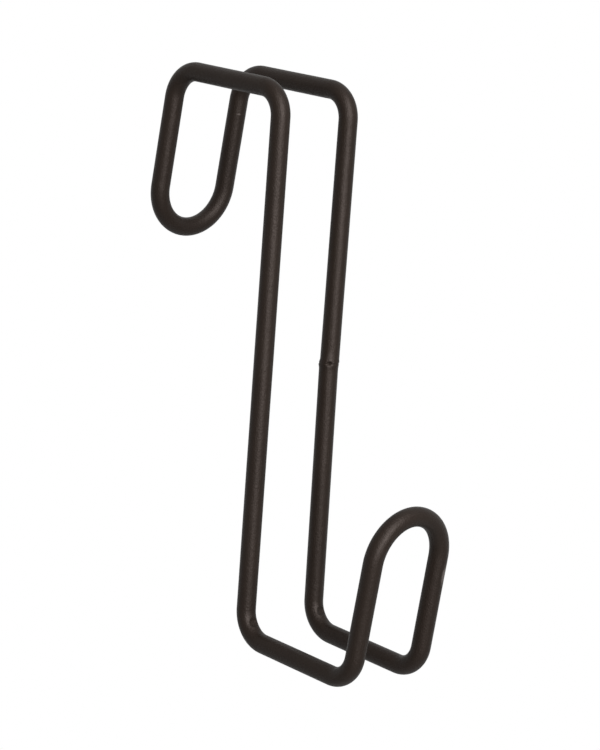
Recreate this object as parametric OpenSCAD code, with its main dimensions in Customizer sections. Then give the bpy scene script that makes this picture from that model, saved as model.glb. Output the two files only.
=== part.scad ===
// Stable hook. One closed loop of round rod is bent into a rail hook at the top
// and a load hook at the bottom. The rod's ends are butt-welded in one long leg.
//
// Frame: the origin is the middle of the rail spans' underside, where the hook
// sits on its rail. +Z runs up the long legs, +X points to the load hook, and +Y
// goes across the two rods to the welded one.
//
// Lengths are between the corners where the rod's straight centrelines meet.

/* [Rod] */
// Diameter of the round rod
rod_d = 8; // [5:0.5:12]
// Width over both rods, outside to outside
loop_w = 45; // [36:1:80]

/* [Long legs] */
// Length of the long legs, between the rail spans and the load spans
leg_h = 228; // [160:1:400]

/* [Rail hook] */
// Length of the rail spans, from the long legs to the rail hook's legs
rail_span = 65.5; // [45:0.5:110]
// Reach of the rail hook's legs, from the rail spans to the tip's centreline
rail_reach = 69.5; // [50:0.5:120]

/* [Load hook] */
// Length of the load spans, from the long legs to the load hook's legs
load_span = 65.5; // [45:0.5:110]
// Reach of the load hook's legs, from the load spans to the tip's centreline
load_reach = 69.5; // [50:0.5:120]

/* [Bends] */
// Angle that each side bend turns the rod through
bend_angle = 86; // [78:1:90]
// Radius on the inside of each side bend
bend_inside_r = 8.25; // [5:0.25:12]
// How much thinner the rod is drawn where it is bent
bend_thinning = 0.04; // [0.02:0.01:0.2]

/* [Weld] */
// Height of the butt weld above the load spans' corner
weld_h = 114; // [60:1:140]
// Radius of the weld's rounded bead
weld_r = 1.3; // [0.8:0.1:1.5]
// How far the weld's bead stands out of the rod
weld_rise = 0.6; // [0.2:0.1:0.8]

/* [Hidden] */
$fn = 96;

rod_r = rod_d / 2;
leg_y = loop_w / 2 - rod_r;
bend_d = rod_d - bend_thinning;
bend_r = bend_inside_r + rod_r;
setback = bend_r * tan(bend_angle / 2);
weld_ring_r = rod_r + weld_rise - weld_r;
// The rail seat, measured from the long legs' middle plane at the weld's height
seat_x = -rail_span / 2 * sin(bend_angle) - rod_r * cos(bend_angle);
seat_z = leg_h - weld_h + rail_span / 2 * cos(bend_angle) - rod_r * sin(bend_angle);

// Draws its children on both of the parallel rods
module pair() {
    for (side = [-1, 1])
        translate([0, side * leg_y, 0]) children();
}

// A straight length of rod, up from the origin
module rod(length) {
    cylinder(d = rod_d, h = length);
}

// One side bend, from straight up at the origin over towards -X
module side_bend() {
    translate([-bend_r, 0, 0])
        rotate([90, 0, 0])
            rotate_extrude(angle = bend_angle)
                translate([bend_r, 0]) circle(d = bend_d);
}

// Carries its children to the far end of a side bend
module after_bend() {
    translate([-bend_r, 0, 0])
        rotate([0, -bend_angle, 0])
            translate([bend_r, 0, 0]) children();
}

// The half circle that joins both rods at a hook's tip
module tip() {
    rotate([90, 0, 90])
        rotate_extrude(angle = 180)
            translate([leg_y, 0]) circle(d = bend_d);
}

// One hook with its share of the long legs, from the weld's height outwards
module hook_end(leg_share, span, reach) {
    leg_rod = leg_share - setback;
    span_rod = span - 2 * setback;
    reach_rod = reach - setback - leg_y;
    pair() rod(leg_rod);
    translate([0, 0, leg_rod]) {
        pair() side_bend();
        after_bend() {
            pair() rod(span_rod);
            translate([0, 0, span_rod]) {
                pair() side_bend();
                after_bend() {
                    pair() rod(reach_rod);
                    translate([0, 0, reach_rod]) tip();
                }
            }
        }
    }
}

// The raised bead round the butt weld
module weld_bead() {
    rotate_extrude()
        translate([weld_ring_r, 0]) circle(r = weld_r);
}

module hook() {
    color([0.2, 0.175, 0.16])
        translate([-seat_x, 0, -seat_z]) {
            hook_end(leg_h - weld_h, rail_span, rail_reach);
            rotate([0, 180, 0]) hook_end(weld_h, load_span, load_reach);
            translate([0, leg_y, 0]) weld_bead();
        }
}

hook();
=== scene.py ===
"""A stable hook: one closed loop of coated round rod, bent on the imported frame.

Two long legs run from a rail hook at the top down to a load hook at the bottom.
The rod's ends meet in a butt weld in one of the long legs. Lengths are metres.
"""

import logging
import math
from dataclasses import dataclass, field, replace
from enum import Enum

import bmesh
import bpy
from mathutils import Matrix, Quaternion, Vector, noise


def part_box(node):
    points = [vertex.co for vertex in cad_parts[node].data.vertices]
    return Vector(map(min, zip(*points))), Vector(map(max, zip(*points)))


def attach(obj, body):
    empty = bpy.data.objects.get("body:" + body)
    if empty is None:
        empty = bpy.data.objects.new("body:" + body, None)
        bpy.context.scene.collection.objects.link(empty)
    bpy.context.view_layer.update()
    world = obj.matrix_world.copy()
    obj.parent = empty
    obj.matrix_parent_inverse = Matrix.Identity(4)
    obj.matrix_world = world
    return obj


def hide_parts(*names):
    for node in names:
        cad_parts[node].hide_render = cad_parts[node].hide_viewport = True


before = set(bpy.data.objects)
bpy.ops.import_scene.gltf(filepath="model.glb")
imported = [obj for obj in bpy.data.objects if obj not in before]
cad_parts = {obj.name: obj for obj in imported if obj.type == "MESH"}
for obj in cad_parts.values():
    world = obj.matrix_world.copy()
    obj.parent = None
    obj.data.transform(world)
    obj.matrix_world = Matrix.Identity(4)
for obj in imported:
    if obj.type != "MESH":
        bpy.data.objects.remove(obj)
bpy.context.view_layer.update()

LOG = logging.getLogger("stable_hook")
MM = 0.001
UP = Vector((0.0, 0.0, 1.0))
ACROSS = Vector((0.0, 1.0, 0.0))
WHITE = (1.0, 1.0, 1.0, 1.0)

# Vertices of neighbouring stretches that lie nearer than this are one vertex.
MERGE_DISTANCE = 0.006 * MM

# An area lamp's watts for each square metre and unit of radiance.
LAMP_WATTS = 4.0


class Side(Enum):
    """The two parallel rods, by the sign of their place in Y."""

    WELDED = 1
    PLAIN = -1


class Place(Enum):
    """A point on the rod that marks are measured from."""

    WELD = "weld"
    RAIL_BEND_WELDED = "rail_bend_welded"
    RAIL_OUTER_WELDED = "rail_outer_welded"
    RAIL_TIP = "rail_tip"
    RAIL_OUTER_PLAIN = "rail_outer_plain"
    RAIL_BEND_PLAIN = "rail_bend_plain"
    LOAD_BEND_PLAIN = "load_bend_plain"
    LOAD_OUTER_PLAIN = "load_outer_plain"
    LOAD_TIP = "load_tip"
    LOAD_OUTER_WELDED = "load_outer_welded"
    LOAD_BEND_WELDED = "load_bend_welded"


class Layer(Enum):
    """The vertex attributes that the coat reads."""

    UNBENT = "unbent"
    WELDED = "welded"


def eased(value: float) -> float:
    """Eases a share from 0 to 1.

    Args:
        value: Any number; it is kept between 0 and 1.

    Returns:
        The share, with level ends.
    """
    share = min(1.0, max(0.0, value))
    return share * share * (3.0 - 2.0 * share)


@dataclass
class Stretch:
    """One drawn length of rod, with the attributes that its vertices carry."""

    mesh: bmesh.types.BMesh = field(default_factory=bmesh.new)

    def __post_init__(self) -> None:
        """Adds the attributes, before there is a vertex."""
        layers = self.mesh.verts.layers
        self.unbent = layers.float_vector.new(Layer.UNBENT.value)
        self.welded = layers.float.new(Layer.WELDED.value)


@dataclass
class Ring:
    """One section of the rod as the bender left it.

    `first` is the X of the rod before it was bent, and `inside` points to the inside
    of the bend. `bent` is 0 at a bend's ends and 1 at its middle.
    """

    centre: Vector
    along: Vector
    first: Vector
    inside: Vector
    travelled: float
    bent: float = 0.0
    stretch: Stretch | None = None
    verts: list[bmesh.types.BMVert] = field(default_factory=list)

    def unbent_at(self, outward: Vector, radius: float) -> Vector:
        """Gives a point's place on the rod before it was bent.

        Args:
            outward: Direction of the point from the centreline.
            radius: Distance of the point from the centreline.

        Returns:
            The place, with the rod along Z.
        """
        second = self.along.cross(self.first)
        return Vector((outward.dot(self.first) * radius, outward.dot(second) * radius, self.travelled))


@dataclass
class Corner:
    """A point where two straight centrelines meet, and the bend that joins them."""

    place: Place
    point: Vector
    radius: float | None
    step: float


@dataclass
class RodBender:
    """Draws a ring of vertices out into a rod, stretch by stretch, and bends it.

    Over a length of `fine` at each end the rings stand `fine_step` apart or less.
    `gap` is the distance between the ends, which the weld fills.
    """

    rod_radius: float
    sides: int
    step: float
    fine: float
    fine_step: float
    gap: float
    parts: list[Stretch] = field(default_factory=list)
    rings: list[Ring] = field(default_factory=list)
    places: dict[Place, float] = field(default_factory=dict)

    def follow(self, start: Vector, corners: list[Corner], end: Vector) -> None:
        """Takes the rod from its start round a list of corners to its end.

        Args:
            start: Where the rod begins.
            corners: The corners in order.
            end: Where the rod stops.
        """
        points = [start, *(corner.point for corner in corners), end]
        legs = [(b - a).normalized() for a, b in zip(points, points[1:])]
        spot, travelled = start.copy(), 0.0
        first = ACROSS.cross(legs[0]).normalized()
        ring = Ring(spot, legs[0], first, first, travelled)
        ring = self._run(ring, legs[1], self.fine, self.fine_step)
        for index, corner in enumerate(corners):
            before, onward = legs[index], legs[index + 1]
            half = math.tan(before.angle(onward) / 2.0)
            gaps = [(points[near] - corner.point).length for near in (index, index + 2)]
            radius = corner.radius or min(gaps) / 2.0 / half
            ahead = (corner.point - ring.centre).length - radius * half
            if ahead > self.fine_step:
                ring = self._run(ring, onward, ahead, self.step)
            self.places[corner.place] = ring.travelled
            ring = self._bend(ring, onward, radius, corner.step)
        onward = -ring.inside
        ring = self._run(ring, onward, (end - ring.centre).length - self.fine, self.step)
        ring = self._run(ring, onward, self.fine, self.fine_step)
        self.places[Place.WELD] = ring.travelled + self.gap / 2.0

    def past(self, ring: Ring, place: Place) -> float:
        """Tells how far a ring is past a place, the short way round the closed loop."""
        length = self.places[Place.WELD] + self.gap / 2.0
        return math.remainder(ring.travelled - self.places[place], length)

    def joined(self) -> bmesh.types.BMesh:
        """Joins the stretches into one closed rod with its faces outwards.

        Returns:
            The closed rod.
        """
        whole = bmesh.new()
        for part in self.parts:
            data = bpy.data.meshes.new("stretch")
            part.mesh.to_mesh(data)
            part.mesh.free()
            whole.from_mesh(data)
            bpy.data.meshes.remove(data)
        bmesh.ops.remove_doubles(whole, verts=whole.verts, dist=MERGE_DISTANCE)
        ends = [edge for edge in whole.edges if edge.is_boundary]
        bmesh.ops.bridge_loops(whole, edges=ends)
        bmesh.ops.recalc_face_normals(whole, faces=whole.faces)
        return whole

    def _run(self, start: Ring, onward: Vector, length: float, step: float) -> Ring:
        """Draws the rod straight on.

        Args:
            start: The ring that the stretch begins with.
            onward: Direction that the rod is bent to next.
            length: How far it goes.
            step: Greatest length between rings.

        Returns:
            The stretch's last ring.
        """
        count = max(1, math.ceil(length / step))
        ahead = start.along * (length / count)
        inside = (onward - start.along * onward.dot(start.along)).normalized()
        rings = [
            Ring(
                start.centre + ahead * index,
                start.along,
                start.first,
                inside,
                start.travelled + ahead.length * index,
            )
            for index in range(count + 1)
        ]
        self._sweep(rings, start.centre, start.along, 0.0, ahead)
        return rings[-1]

    def _bend(self, start: Ring, towards: Vector, radius: float, step: float) -> Ring:
        """Bends the rod from its own direction into another.

        Args:
            start: The ring that the bend begins with.
            towards: Direction in which the rod leaves the bend.
            radius: Radius of the centreline.
            step: Greatest length between rings, along the centreline.

        Returns:
            The bend's last ring.
        """
        axis = start.along.cross(towards).normalized()
        inside = axis.cross(start.along).normalized()
        middle = start.centre + inside * radius
        angle = start.along.angle(towards)
        count = math.ceil(angle * radius / step)
        rings = []
        for index in range(count + 1):
            share = index / count
            turned = Matrix.Rotation(angle * share, 3, axis)
            rings.append(
                Ring(
                    middle - turned @ inside * radius,
                    turned @ start.along,
                    turned @ start.first,
                    turned @ inside,
                    start.travelled + angle * radius * share,
                    math.sin(math.pi * share),
                )
            )
        self._sweep(rings, middle, axis, angle, Vector())
        return rings[-1]

    def _sweep(self, rings: list[Ring], middle: Vector, axis: Vector, angle: float, ahead: Vector) -> None:
        """Sweeps one stretch of rod through its rings.

        Args:
            rings: The stretch's rings, which get their vertices.
            middle: A point on the axis that the stretch turns about.
            axis: Direction of that axis.
            angle: Turn over the whole stretch.
            ahead: Move from each ring to the next.
        """
        stretch = Stretch()
        part = stretch.mesh
        first = rings[0]
        turn = Matrix((first.first.cross(first.along), first.first, first.along)).transposed()
        made = bmesh.ops.create_circle(
            part,
            cap_ends=False,
            segments=self.sides,
            radius=self.rod_radius,
            matrix=Matrix.Translation(first.centre) @ turn.to_4x4(),
        )
        first.verts = made["verts"]
        bmesh.ops.spin(
            part,
            geom=[*part.verts, *part.edges],
            cent=middle,
            axis=axis,
            dvec=ahead,
            angle=angle,
            steps=len(rings) - 1,
            use_merge=False,
            use_normal_flip=False,
            use_duplicate=False,
        )
        known = set(first.verts)
        for last, ring in zip(rings, rings[1:]):
            ring.verts = [
                next(e.other_vert(v) for e in v.link_edges if e.other_vert(v) not in known)
                for v in last.verts
            ]
            known.update(ring.verts)
        for ring in rings:
            ring.stretch = stretch
        self.parts.append(stretch)
        self.rings.extend(rings)


@dataclass(frozen=True)
class Spot:
    """An oval on the rod's surface.

    Its middle lies `ahead` past its place along the rod, and `turn` round the rod from
    the inside of the bend.
    """

    place: Place
    ahead: float
    turn: float
    half_length: float
    half_width: float

    def reach(self, past: float, angle: float, around: float) -> float:
        """Tells how far a point is from the oval's middle, where 1 is its edge.

        Args:
            past: How far the point is past the oval's place on the rod.
            angle: The point's angle from the inside of the bend.
            around: The rod's radius.

        Returns:
            The distance, as a share of the oval's half size.
        """
        along = (past - self.ahead) / self.half_length
        turned = math.remainder(angle - self.turn, math.tau) * around / self.half_width
        return math.hypot(along, turned)


@dataclass(frozen=True)
class PressMark:
    """A hollow in the rod: a pocket pressed into a bend, or a pit in the weld.

    `wall` is the share of the half size over which the hollow reaches its depth, and
    `lip` is how far its edge stands up.
    """

    spot: Spot
    depth: float
    wall: float
    lip: float = 0.0

    def press(self, reach: float) -> float:
        """Tells how deep the mark is.

        Args:
            reach: Distance from the mark's middle, where 1 is its edge.

        Returns:
            The depth, below 0 where the lip stands up.
        """
        lip_width = self.wall / 2.0
        raised = self.lip * math.exp(-(((reach - 1.0) / lip_width) ** 2))
        return self.depth * eased((1.0 - reach) / self.wall) - raised


@dataclass(frozen=True)
class ScuffAndHighlight:
    """A pale patch on the coat: some are coat thinned by wear, some are painted highlights; its centre is
    found on the unbent rod.
    """

    spot: Spot
    strength: float
    centre: Vector = field(default_factory=Vector)


@dataclass(frozen=True)
class ButtWeld:
    """The upset bead where the rod's ends are joined.

    `upper` and `lower` are its lengths above and below the weld. It is lower by `lean`
    on one side and higher on the other. `grain` is how often its unevenness comes back
    in a metre, and `seam` is the depth of the groove round its middle. Within `blend`
    of the weld the two ends are brought into line, and `heated` is how far its
    roughness reaches.
    """

    gap: float = 0.12 * MM
    upper: float = 2.3 * MM
    lower: float = 2.6 * MM
    rise: float = 0.26 * MM
    lean: float = 0.05 * MM
    uneven: float = 0.16 * MM
    grain: float = 420.0
    seam: float = 0.16 * MM
    seam_width: float = 0.4 * MM
    blend: float = 1.2 * MM
    heated: float = 6.0 * MM

    def rise_at(self, above: float, outward: Vector, point: Vector, lean: Vector) -> float:
        """Tells how far the bead stands out of the rod at a point.

        Args:
            above: Distance from the weld along the rod, below 0 under it.
            outward: Direction of the point from the rod's centreline.
            point: The point itself.
            lean: The side on which the bead is low.

        Returns:
            The rise there.
        """
        share = 1.0 - abs(above) / (self.upper if above > 0.0 else self.lower)
        if share <= 0.0:
            return 0.0
        high = self.rise - self.lean * outward.dot(lean)
        high += self.uneven * noise.noise(point * self.grain)
        return high * eased(share) - self.seam * math.exp(-((above / self.seam_width) ** 2))


@dataclass
class HookRod:
    """The closed loop of rod: both hooks, both long legs and the butt weld.

    Each step is the greatest length between rings. The long legs stand out of true
    along `lean`: the welded one by `top_out` at its top bend, by `weld_out` just above
    and just below the weld and by `bottom_out` at its foot, the other one by
    `plain_bottom_out` at its foot. `load_wide` is how much further out than true the
    load hook's outer bends stand in Y, and the tips have values of their own. The rod's
    section goes `oval` in the bends, as a share of its radius.
    """

    rod_radius: float = 4.0 * MM
    coat_thickness: float = 0.06 * MM
    leg_height: float = 228.0 * MM
    span: float = 65.5 * MM
    reach: float = 69.5 * MM
    bend_angle: float = math.radians(86.0)
    rail_leg_radius: float = 12.25 * MM
    rail_outer_radius: float = 13.3 * MM
    load_leg_radius: float = 12.75 * MM
    load_outer_radius: float = 12.1 * MM
    weld_height: float = 114.2 * MM
    sides: int = 64
    step: float = 1.5 * MM
    bend_step: float = 0.6 * MM
    marked_step: float = 0.4 * MM
    tip_step: float = 1.0 * MM
    fine: float = 6.0 * MM
    fine_step: float = 0.2 * MM
    lean: Vector = field(default_factory=lambda: Vector((0.677, 0.736, 0.0)))
    top_out: float = 1.16 * MM
    weld_out: tuple[float, float] = (0.98 * MM, 0.77 * MM)
    bottom_out: float = 2.13 * MM
    plain_bottom_out: float = 0.45 * MM
    load_wide: float = 0.585 * MM
    load_tip_wide: float = 0.25 * MM
    rail_tip_wide: float = -0.19 * MM
    oval: float = 0.012
    waver: float = 0.035 * MM
    waver_length: float = 26.0 * MM
    weld: ButtWeld = field(default_factory=ButtWeld)
    marks: tuple[PressMark, ...] = (
        PressMark(
            Spot(
                Place.LOAD_BEND_PLAIN,
                ahead=7.7 * MM,
                turn=0.0,
                half_length=3.3 * MM,
                half_width=2.6 * MM,
            ),
            depth=0.75 * MM,
            wall=0.6,
            lip=0.04 * MM,
        ),
        PressMark(
            Spot(
                Place.LOAD_BEND_WELDED,
                ahead=12.8 * MM,
                turn=0.0,
                half_length=2.9 * MM,
                half_width=2.4 * MM,
            ),
            depth=0.6 * MM,
            wall=0.5,
            lip=0.05 * MM,
        ),
        PressMark(
            Spot(
                Place.WELD,
                ahead=0.3 * MM,
                turn=math.radians(135.0),
                half_length=1.2 * MM,
                half_width=1.4 * MM,
            ),
            depth=0.8 * MM,
            wall=0.85,
        ),
    )
    scuffs_and_highlights: tuple[ScuffAndHighlight, ...] = (
        # Just above the weld: a paler patch over the highlight, partly thin coat on the bead and partly
        # painted highlight.
        ScuffAndHighlight(
            Spot(
                Place.WELD,
                ahead=3.0 * MM,
                turn=math.radians(135.0),
                half_length=1.8 * MM,
                half_width=1.1 * MM,
            ),
            strength=0.14,
        ),
        # Painted glint: a pale spot just below the weld's pit, where the light catches the rod.
        ScuffAndHighlight(
            Spot(
                Place.WELD,
                ahead=-1.2 * MM,
                turn=math.radians(139.0),
                half_length=0.7 * MM,
                half_width=0.9 * MM,
            ),
            strength=0.2,
        ),
        # Painted highlight: a pale strip beside the near pocket that carries the highlight further down
        # the bend.
        ScuffAndHighlight(
            Spot(
                Place.LOAD_BEND_PLAIN,
                ahead=6.0 * MM,
                turn=math.radians(41.0),
                half_length=3.4 * MM,
                half_width=0.8 * MM,
            ),
            strength=0.08,
        ),
        # A pale strip on the coat beside the far pocket.
        ScuffAndHighlight(
            Spot(
                Place.LOAD_BEND_WELDED,
                ahead=15.3 * MM,
                turn=math.radians(-31.0),
                half_length=3.2 * MM,
                half_width=0.8 * MM,
            ),
            strength=0.16,
        ),
        ScuffAndHighlight(
            Spot(
                Place.LOAD_OUTER_WELDED,
                ahead=-32.2 * MM,
                turn=math.radians(165.0),
                half_length=3.4 * MM,
                half_width=1.0 * MM,
            ),
            strength=0.65,
        ),
        ScuffAndHighlight(
            Spot(
                Place.RAIL_OUTER_WELDED,
                ahead=25.9 * MM,
                turn=math.radians(-62.0),
                half_length=0.3 * MM,
                half_width=0.9 * MM,
            ),
            strength=0.6,
        ),
    )
    _middle: Vector = field(init=False)
    _leg_y: float = field(init=False)

    def build(self) -> bpy.types.Object:
        """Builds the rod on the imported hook's box.

        Returns:
            The finished object, with its place in its mesh.
        """
        low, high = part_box("hook")
        self._middle = (low + high) / 2.0
        self._leg_y = -low.y - self.rod_radius
        bender = RodBender(
            rod_radius=self.rod_radius,
            sides=self.sides,
            step=self.step,
            fine=self.fine,
            fine_step=self.fine_step,
            gap=self.weld.gap,
        )
        upper, lower = (self._weld_point() + self.lean * out for out in self.weld_out)
        half_gap = UP * (self.weld.gap / 2.0)
        bender.follow(upper + half_gap, self._corners(), lower - half_gap)
        self._shape(bender, (upper + lower) / 2.0)
        self.scuffs_and_highlights = tuple(self._found(bender, pale_patch) for pale_patch in self.scuffs_and_highlights)
        return self._finished(bender.joined())

    def _weld_point(self) -> Vector:
        """Gives the weld's place in a true hook."""
        height = self._middle.z - self.leg_height / 2.0 + self.weld_height
        return Vector((self._middle.x, self._leg_y, height))

    def _profile(self, turned: bool) -> tuple[Vector, Vector, Vector]:
        """Gives one hook's corners in the plane between the rods.

        Args:
            turned: True for the load hook, which is the rail hook turned half round.

        Returns:
            The corner at the long leg, the outer corner and the tip.
        """
        sign = -1.0 if turned else 1.0
        leg = Vector((0.0, 0.0, self.leg_height / 2.0))
        out = Vector((-math.sin(self.bend_angle), 0.0, math.cos(self.bend_angle)))
        back = Vector((-math.sin(2 * self.bend_angle), 0.0, math.cos(2 * self.bend_angle)))
        outer = leg + out * self.span
        tip = outer + back * self.reach
        shift = Vector((self._middle.x, 0.0, self._middle.z))
        return leg * sign + shift, outer * sign + shift, tip * sign + shift

    def _at(self, point: Vector, side: Side, wide: float = 0.0, out: float = 0.0) -> Vector:
        """Puts a point of the middle plane on one of the rods.

        Args:
            point: The point in the middle plane.
            side: The rod.
            wide: How much further out than true the rod is.
            out: How far the rod leans to one side there.

        Returns:
            The point on the rod's centreline.
        """
        return point + ACROSS * (side.value * (self._leg_y + wide)) + self.lean * out

    def _corners(self) -> list[Corner]:
        """Lists the corners in order, from above the weld round to below it.

        Returns:
            The corners.
        """
        top, rail, rail_tip = self._profile(False)
        foot, load, load_tip = self._profile(True)
        far, near = Side.WELDED, Side.PLAIN
        plan = (
            (Place.RAIL_BEND_WELDED, self._at(top, far, out=self.top_out), self.rail_leg_radius),
            (Place.RAIL_OUTER_WELDED, self._at(rail, far), self.rail_outer_radius),
            (Place.RAIL_TIP, self._at(rail_tip, far, self.rail_tip_wide), None),
            (Place.RAIL_TIP, self._at(rail_tip, near, self.rail_tip_wide), None),
            (Place.RAIL_OUTER_PLAIN, self._at(rail, near), self.rail_outer_radius),
            (Place.RAIL_BEND_PLAIN, self._at(top, near), self.rail_leg_radius),
            (
                Place.LOAD_BEND_PLAIN,
                self._at(foot, near, out=self.plain_bottom_out),
                self.load_leg_radius,
            ),
            (Place.LOAD_OUTER_PLAIN, self._at(load, near, self.load_wide), self.load_outer_radius),
            (Place.LOAD_TIP, self._at(load_tip, near, self.load_tip_wide), None),
            (Place.LOAD_TIP, self._at(load_tip, far, self.load_tip_wide), None),
            (Place.LOAD_OUTER_WELDED, self._at(load, far, self.load_wide), self.load_outer_radius),
            (Place.LOAD_BEND_WELDED, self._at(foot, far, out=self.bottom_out), self.load_leg_radius),
        )
        marked = {mark.spot.place for mark in self.marks}
        return [
            Corner(place, point, radius, self._step_of(place, radius, marked))
            for place, point, radius in plan
        ]

    def _step_of(self, place: Place, radius: float | None, marked: set[Place]) -> float:
        """Gives the length between a bend's rings.

        Args:
            place: The bend's place.
            radius: The bend's radius, or None for a tip.
            marked: The places that carry a press mark.

        Returns:
            The length, least where there is a mark.
        """
        if place in marked:
            return self.marked_step
        return self.tip_step if radius is None else self.bend_step

    def _shape(self, bender: RodBender, weld: Vector) -> None:
        """Moves the vertices as the bends, the weld and the marks moved the real rod.

        Args:
            bender: The bender with its rod.
            weld: The middle of the weld.
        """
        for ring in bender.rings:
            above = bender.past(ring, Place.WELD)
            away = abs(above)
            drift = Vector()
            if away < self.fine:
                on_axis = weld + ring.along * (ring.centre - weld).dot(ring.along)
                drift = (on_axis - ring.centre) * (1.0 - eased(away / self.weld.blend))
            heat = eased(1.0 - away / self.weld.heated)
            side = ring.along.cross(ring.inside)
            for vert in ring.verts:
                outward = (vert.co - ring.centre).normalized()
                angle = math.atan2(outward.dot(side), outward.dot(ring.inside))
                radius = self.rod_radius * (1.0 - self.oval * ring.bent * math.cos(2.0 * angle))
                radius += self.coat_thickness
                radius += self.waver * noise.noise(vert.co / self.waver_length)
                radius += self.weld.rise_at(above, outward, vert.co, self.lean)
                radius -= sum(
                    mark.press(self._reach(bender, ring, mark.spot, angle)) for mark in self.marks
                )
                vert[ring.stretch.unbent] = ring.unbent_at(outward, self.rod_radius)
                vert[ring.stretch.welded] = heat
                vert.co = ring.centre + drift + outward * radius

    def _reach(self, bender: RodBender, ring: Ring, spot: Spot, angle: float) -> float:
        """Tells how far a point of a ring is from a spot's middle, where 1 is its edge."""
        return spot.reach(bender.past(ring, spot.place), angle, self.rod_radius)

    def _found(self, bender: RodBender, pale_patch: ScuffAndHighlight) -> ScuffAndHighlight:
        """Finds where a pale patch lies on the rod before it was bent.

        Args:
            bender: The bender with its rod.
            pale_patch: The patch: coat thinned by wear, or a painted highlight.

        Returns:
            The patch with its centre.
        """
        spot = pale_patch.spot
        ring = min(bender.rings, key=lambda ring: abs(bender.past(ring, spot.place) - spot.ahead))
        side = ring.along.cross(ring.inside)
        out = ring.inside * math.cos(spot.turn) + side * math.sin(spot.turn)
        onward = UP * (spot.ahead - bender.past(ring, spot.place))
        return replace(pale_patch, centre=ring.unbent_at(out, self.rod_radius) + onward)

    def _finished(self, rod: bmesh.types.BMesh) -> bpy.types.Object:
        """Turns the closed rod into an object.

        Args:
            rod: The closed rod.

        Returns:
            The object, at the origin.
        """
        data = bpy.data.meshes.new("hook_rod")
        rod.to_mesh(data)
        rod.free()
        data.shade_smooth()
        piece = bpy.data.objects.new("hook_rod", data)
        bpy.context.scene.collection.objects.link(piece)
        return piece


@dataclass
class NodeBench:
    """Places and joins the nodes of one material, world or group."""

    tree: bpy.types.NodeTree

    def add(self, kind: str, inputs: dict | None = None, **settings: object) -> bpy.types.Node:
        """Adds a node.

        Args:
            kind: The node's type.
            inputs: Values or sockets for its inputs, by name or number.
            settings: The node's own settings.

        Returns:
            The node.
        """
        node = self.tree.nodes.new(kind)
        for name, value in settings.items():
            setattr(node, name, value)
        for name, value in (inputs or {}).items():
            if isinstance(value, bpy.types.NodeSocket):
                self.tree.links.new(value, node.inputs[name])
            else:
                node.inputs[name].default_value = value
        return node

    def join(self, out: bpy.types.NodeSocket, into: bpy.types.NodeSocket) -> None:
        """Links an output to an input."""
        self.tree.links.new(out, into)

    def noise(self, where: bpy.types.NodeSocket, size: float, detail: float) -> bpy.types.NodeSocket:
        """Adds a noise whose grains have a given size."""
        node = self.add("ShaderNodeTexNoise", {"Vector": where, "Scale": 1.0 / size, "Detail": detail})
        return node.outputs[0]

    def mix(self, share: bpy.types.NodeSocket, first: object, second: object) -> bpy.types.NodeSocket:
        """Mixes two colours by a share."""
        node = self.add("ShaderNodeMix", {"Factor": share, "A": first, "B": second}, data_type="RGBA")
        return node.outputs["Result"]

    def blend(self, *parts: tuple[bpy.types.NodeSocket, float]) -> bpy.types.NodeSocket:
        """Adds up values by their shares.

        Args:
            parts: Each value with its share.

        Returns:
            The sum.
        """
        total: bpy.types.NodeSocket | float = 0.0
        for value, share in parts:
            node = self.add("ShaderNodeMath", {0: value, 1: share, 2: total}, operation="MULTIPLY_ADD")
            total = node.outputs[0]
        return total


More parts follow.
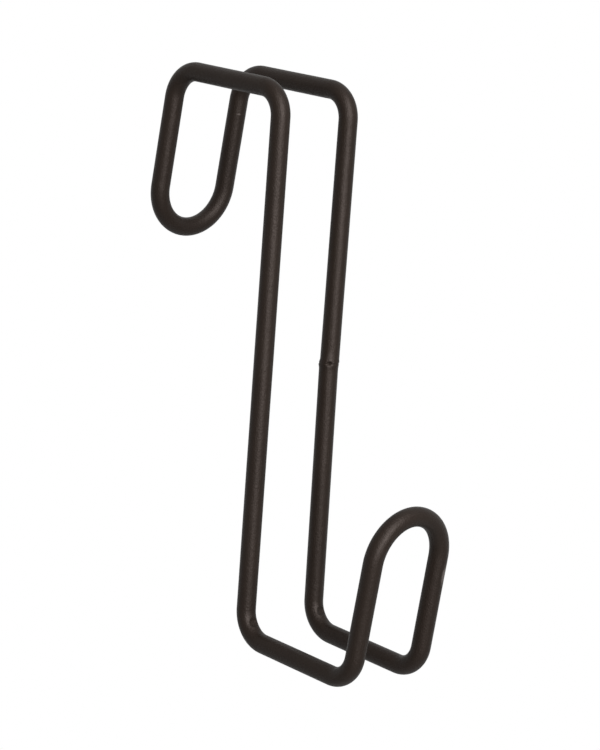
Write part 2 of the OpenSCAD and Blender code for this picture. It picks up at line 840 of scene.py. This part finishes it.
@dataclass(frozen=True)
class SatinCoat:
    """A thin dark brown satin coat over drawn rod: fine-grained, streaked, thinned by wear in places, with
    highlights painted on in others.

    The roughness goes through the range `rough` as the mix of grain and streaks goes
    through `uneven`. `height` is the relief of the grain, and the shares are those of
    the other reliefs beside it.
    """

    name: str = "satin_coat"
    dark: tuple[float, float, float, float] = (0.0040, 0.0024, 0.0015, 1.0)
    light: tuple[float, float, float, float] = (0.0062, 0.0040, 0.0027, 1.0)
    # The paler colour of coat thinned by wear, also used to paint highlights on the weld and beside the
    # near pocket.
    rubbed_and_highlight: tuple[float, float, float, float] = (0.060, 0.050, 0.046, 1.0)
    specular: float = 0.146
    tint: tuple[float, float, float, float] = (1.0, 0.855, 0.80, 1.0)
    rough: tuple[float, float] = (0.42, 0.52)
    grain_size: float = 0.65 * MM
    peel_size: float = 2.4 * MM
    patch_size: float = 14.0 * MM
    streak_width: float = 0.55 * MM
    streak_length: float = 14.0 * MM
    weld_grain: float = 0.9 * MM
    grain_detail: float = 2.0
    plain_detail: float = 1.0
    uneven: tuple[float, float] = (0.3, 0.7)
    grain_in_gloss: float = 0.5
    height: float = 0.14 * MM
    peel_share: float = 0.6
    streak_share: float = 0.3
    weld_share: float = 0.8
    patch_ragged: float = 1.0

    def build(self, scuffs_and_highlights: tuple[ScuffAndHighlight, ...]) -> bpy.types.Material:
        """Builds the coat's material.

        Args:
            scuffs_and_highlights: Where the coat is thinned by wear, and where highlights are painted on.

        Returns:
            The material.
        """
        material = bpy.data.materials.new(self.name)
        material.use_nodes = True
        bench = NodeBench(material.node_tree)
        shader = material.node_tree.nodes["Principled BSDF"]
        where = bench.add("ShaderNodeTexCoord").outputs["Object"]
        unbent = bench.add("ShaderNodeAttribute", attribute_name=Layer.UNBENT.value).outputs["Vector"]
        grain = bench.noise(where, self.grain_size, self.grain_detail)
        streak = self._streak(bench, unbent)
        tone = bench.mix(bench.noise(where, self.patch_size, self.grain_detail), self.dark, self.light)
        # Paler colour where the coat is thinned by wear and where highlights are painted on.
        worn_and_lit = bench.mix(self._worn_and_lit(bench, unbent, grain, scuffs_and_highlights), tone, self.rubbed_and_highlight)
        bench.join(worn_and_lit, shader.inputs["Base Color"])
        bench.join(self._roughness(bench, grain, streak), shader.inputs["Roughness"])
        bench.join(self._normal(bench, where, grain, streak), shader.inputs["Normal"])
        shader.inputs["Specular IOR Level"].default_value = self.specular
        shader.inputs["Specular Tint"].default_value = self.tint
        return material

    def _streak(self, bench: NodeBench, unbent: bpy.types.NodeSocket) -> bpy.types.NodeSocket:
        """Adds the faint lines that drawing the rod left along it.

        Args:
            bench: The material's bench.
            unbent: Places on the rod before it was bent.

        Returns:
            The lines, from 0 to 1.
        """
        lines = (1.0 / self.streak_width, 1.0 / self.streak_width, 1.0 / self.streak_length)
        drawn = bench.add("ShaderNodeVectorMath", {0: unbent, 1: lines}, operation="MULTIPLY")
        return bench.noise(drawn.outputs["Vector"], size=1.0, detail=self.plain_detail)

    def _worn_and_lit(
        self,
        bench: NodeBench,
        unbent: bpy.types.NodeSocket,
        grain: bpy.types.NodeSocket,
        scuffs_and_highlights: tuple[ScuffAndHighlight, ...],
    ) -> bpy.types.NodeSocket:
        """Tells where the coat is thinned by wear, and where highlights are painted on.

        Args:
            bench: The material's bench.
            unbent: Places on the rod before it was bent.
            grain: The fine grain, which breaks up each patch's edge.
            scuffs_and_highlights: Where the coat is thinned by wear, and where highlights are painted on.

        Returns:
            The share of the paler colour: coat gone by wear, and painted highlight.
        """
        worn_and_lit: bpy.types.NodeSocket | float = 0.0
        for pale_patch in scuffs_and_highlights:
            spot = pale_patch.spot
            sizes = (1.0 / spot.half_width, 1.0 / spot.half_width, 1.0 / spot.half_length)
            off = bench.add("ShaderNodeVectorMath", {0: unbent, 1: pale_patch.centre}, operation="SUBTRACT")
            shaped = bench.add(
                "ShaderNodeVectorMath", {0: off.outputs["Vector"], 1: sizes}, operation="MULTIPLY"
            )
            reach = bench.add("ShaderNodeVectorMath", {0: shaped.outputs["Vector"]}, operation="LENGTH")
            ragged = bench.blend((reach.outputs["Value"], 1.0), (grain, self.patch_ragged))
            share = bench.add(
                "ShaderNodeMapRange",
                {
                    "Value": ragged,
                    "From Min": 1.0,
                    "From Max": 1.0 + self.patch_ragged,
                    "To Min": pale_patch.strength,
                    "To Max": 0.0,
                },
                interpolation_type="SMOOTHSTEP",
            )
            most = bench.add("ShaderNodeMath", {0: share.outputs["Result"], 1: worn_and_lit}, operation="MAXIMUM")
            worn_and_lit = most.outputs[0]
        return worn_and_lit

    def _roughness(
        self, bench: NodeBench, grain: bpy.types.NodeSocket, streak: bpy.types.NodeSocket
    ) -> bpy.types.NodeSocket:
        """Varies the gloss with the grain and the streaks.

        Args:
            bench: The material's bench.
            grain: The fine grain.
            streak: The lines along the rod.

        Returns:
            The roughness.
        """
        uneven = bench.blend((grain, self.grain_in_gloss), (streak, 1.0 - self.grain_in_gloss))
        gloss = bench.add(
            "ShaderNodeMapRange",
            {
                "Value": uneven,
                "From Min": self.uneven[0],
                "From Max": self.uneven[1],
                "To Min": self.rough[0],
                "To Max": self.rough[1],
            },
        )
        return gloss.outputs["Result"]

    def _normal(
        self,
        bench: NodeBench,
        where: bpy.types.NodeSocket,
        grain: bpy.types.NodeSocket,
        streak: bpy.types.NodeSocket,
    ) -> bpy.types.NodeSocket:
        """Raises the grain, the peel, the streaks and the weld's roughness.

        Args:
            bench: The material's bench.
            where: Object coordinates.
            grain: The fine grain.
            streak: The lines along the rod.

        Returns:
            The bumped normal.
        """
        peel = bench.noise(where, self.peel_size, self.plain_detail)
        welded = bench.add("ShaderNodeAttribute", attribute_name=Layer.WELDED.value).outputs["Fac"]
        spatter = bench.noise(where, self.weld_grain, self.grain_detail)
        crust = bench.add("ShaderNodeMath", {0: welded, 1: spatter}, operation="MULTIPLY")
        height = bench.blend(
            (grain, 1.0),
            (peel, self.peel_share),
            (streak, self.streak_share),
            (crust.outputs[0], self.weld_share),
        )
        bump = bench.add("ShaderNodeBump", {"Height": height, "Distance": self.height, "Strength": 1.0})
        return bump.outputs["Normal"]


@dataclass(frozen=True)
class SoftLamp:
    """A rectangular soft lamp that faces the hook; the camera doesn't see it."""

    name: str
    azimuth: float
    elevation: float
    distance: float
    width: float
    height: float
    radiance: float

    def hang(self, middle: Vector) -> None:
        """Hangs the lamp round the hook.

        Args:
            middle: The point that the lamp faces.
        """
        data = bpy.data.lights.new(self.name, "AREA")
        data.shape = "RECTANGLE"
        data.size = self.width
        data.size_y = self.height
        data.energy = self.radiance * LAMP_WATTS * self.width * self.height
        lamp = bpy.data.objects.new(self.name, data)
        lamp.visible_camera = False
        away = outward(self.azimuth, self.elevation)
        lamp.location = middle + away * self.distance
        lamp.rotation_euler = away.to_track_quat("Z", "Y").to_euler()
        bpy.context.scene.collection.objects.link(lamp)


def outward(azimuth: float, elevation: float) -> Vector:
    """Gives the direction from the hook to a point round it.

    Args:
        azimuth: Angle round the hook; 0 is on the -Y side and 90 degrees on the +X side.
        elevation: Angle above the horizon.

    Returns:
        The unit direction.
    """
    level = math.cos(elevation)
    return Vector((math.sin(azimuth) * level, -math.cos(azimuth) * level, math.sin(elevation)))


@dataclass(frozen=True)
class Studio:
    """The pale floor, the pale room and the soft lamps.

    The floor lies `drop` below the hook. To the eye, a share `floor_white` of it glows
    up to `clear_from` of its middle, and all of it from `clear_to` on. `fill` is the
    room's strength as a light.
    """

    drop: float = 1.0
    floor_radius: float = 9.0
    floor_sides: int = 96
    floor_colour: tuple[float, float, float, float] = (0.8, 0.8, 0.8, 1.0)
    floor_white: float = 0.35
    clear_from: float = 1.4
    clear_to: float = 2.6
    fill: float = 0.12
    lamps: tuple[SoftLamp, ...] = (
        SoftLamp(
            "key",
            azimuth=math.radians(66.0),
            elevation=math.radians(8.0),
            distance=1.6,
            width=1.0,
            height=1.0,
            radiance=11.0,
        ),
        SoftLamp(
            "high",
            azimuth=math.radians(72.0),
            elevation=math.radians(38.0),
            distance=1.6,
            width=1.2,
            height=1.1,
            radiance=8.7,
        ),
        SoftLamp(
            "top",
            azimuth=math.radians(150.0),
            elevation=math.radians(80.0),
            distance=1.8,
            width=1.2,
            height=1.2,
            radiance=0.5,
        ),
    )

    def build(self, middle: Vector, lowest: float) -> None:
        """Builds the studio.

        Args:
            middle: The middle of the hook.
            lowest: The hook's lowest height.
        """
        self._lay_floor(Vector((middle.x, middle.y, lowest - self.drop)))
        self._light_room()
        for lamp in self.lamps:
            lamp.hang(middle)
        bpy.context.scene.view_settings.view_transform = "Standard"

    def _lay_floor(self, centre: Vector) -> None:
        """Lays the floor.

        Args:
            centre: The middle of the floor.
        """
        data = bpy.data.meshes.new("floor")
        mesh = bmesh.new()
        bmesh.ops.create_circle(
            mesh, cap_ends=True, segments=self.floor_sides, radius=self.floor_radius
        )
        mesh.to_mesh(data)
        mesh.free()
        floor = bpy.data.objects.new("floor", data)
        floor.location = centre
        bpy.context.scene.collection.objects.link(floor)
        data.materials.append(self._floor_finish())

    def _floor_finish(self) -> bpy.types.Material:
        """Builds the floor's material: pale, and white to the eye away from the hook.

        Returns:
            The material.
        """
        material = bpy.data.materials.new("pale_floor")
        material.use_nodes = True
        tree = material.node_tree
        tree.nodes.clear()
        bench = NodeBench(tree)
        where = bench.add("ShaderNodeTexCoord").outputs["Object"]
        away = bench.add("ShaderNodeVectorMath", {0: where}, operation="LENGTH")
        white = bench.add(
            "ShaderNodeMapRange",
            {
                "Value": away.outputs["Value"],
                "From Min": self.clear_from,
                "From Max": self.clear_to,
                "To Min": self.floor_white,
                "To Max": 1.0,
            },
            interpolation_type="SMOOTHSTEP",
        )
        share = bench.add(
            "ShaderNodeMath", {0: seen_rays(bench), 1: white.outputs["Result"]}, operation="MULTIPLY"
        )
        matt = bench.add("ShaderNodeBsdfDiffuse", {"Color": self.floor_colour})
        glow = bench.add("ShaderNodeEmission", {"Strength": 1.0})
        mixed = bench.add(
            "ShaderNodeMixShader",
            {0: share.outputs[0], 1: matt.outputs["BSDF"], 2: glow.outputs["Emission"]},
        )
        bench.add("ShaderNodeOutputMaterial", {"Surface": mixed.outputs["Shader"]})
        return material

    def _light_room(self) -> None:
        """Makes the room white to the eye and in gloss, and dimmer as a light."""
        world = bpy.data.worlds.new("pale_room")
        world.use_nodes = True
        tree = world.node_tree
        tree.nodes.clear()
        bench = NodeBench(tree)
        strength = bench.add(
            "ShaderNodeMapRange",
            {"Value": seen_rays(bench), "To Min": self.fill, "To Max": 1.0},
        )
        room = bench.add("ShaderNodeBackground", {"Strength": strength.outputs["Result"]})
        room.inputs["Color"].default_value = WHITE
        bench.add("ShaderNodeOutputWorld", {"Surface": room.outputs["Background"]})
        bpy.context.scene.world = world


def seen_rays(bench: NodeBench) -> bpy.types.NodeSocket:
    """Adds the test for rays that see the background itself.

    Args:
        bench: The bench of the material or world.

    Returns:
        A value that is 1 for camera, glossy and transmission rays.
    """
    path = bench.add("ShaderNodeLightPath")
    seen = bench.add(
        "ShaderNodeMath",
        {0: path.outputs["Is Camera Ray"], 1: path.outputs["Is Glossy Ray"]},
        operation="MAXIMUM",
    )
    seen = bench.add(
        "ShaderNodeMath",
        {0: seen.outputs[0], 1: path.outputs["Is Transmission Ray"]},
        operation="MAXIMUM",
    )
    return seen.outputs[0]


@dataclass(frozen=True)
class Viewpoint:
    """Where the camera stands, measured from the middle of the hook."""

    azimuth: float = math.radians(46.16)
    elevation: float = math.radians(8.28)
    roll: float = math.radians(4.24)
    distance: float = 1040.5 * MM
    aim: Vector = field(default_factory=lambda: Vector((2.0, 1.27, -3.9)) * MM)
    lens: float = 119.5
    sensor: float = 36.0

    def stand(self, middle: Vector) -> None:
        """Creates the scene's camera.

        Args:
            middle: The middle of the hook.
        """
        data = bpy.data.cameras.new("camera")
        data.lens = self.lens
        data.sensor_width = self.sensor
        camera = bpy.data.objects.new("camera", data)
        back = outward(self.azimuth, self.elevation)
        camera.location = middle + self.aim + back * self.distance
        turn = back.to_track_quat("Z", "Y") @ Quaternion((0.0, 0.0, 1.0), self.roll)
        camera.rotation_euler = turn.to_euler()
        bpy.context.scene.collection.objects.link(camera)
        bpy.context.scene.camera = camera


def main() -> None:
    """Builds the hook, its finish, the studio and the camera."""
    logging.basicConfig(level=logging.INFO, format="%(name)s: %(message)s")
    low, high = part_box("hook")
    middle = (low + high) / 2.0
    middle.y = 0.0
    Viewpoint().stand(middle)
    hook = HookRod()
    rod = hook.build()
    rod.data.materials.append(SatinCoat().build(hook.scuffs_and_highlights))
    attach(rod, "root")
    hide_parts("hook")
    LOG.info("%s: %d vertices, %d faces", rod.name, len(rod.data.vertices), len(rod.data.polygons))
    Studio().build(middle, low.z)


if __name__ == "__main__":
    main()
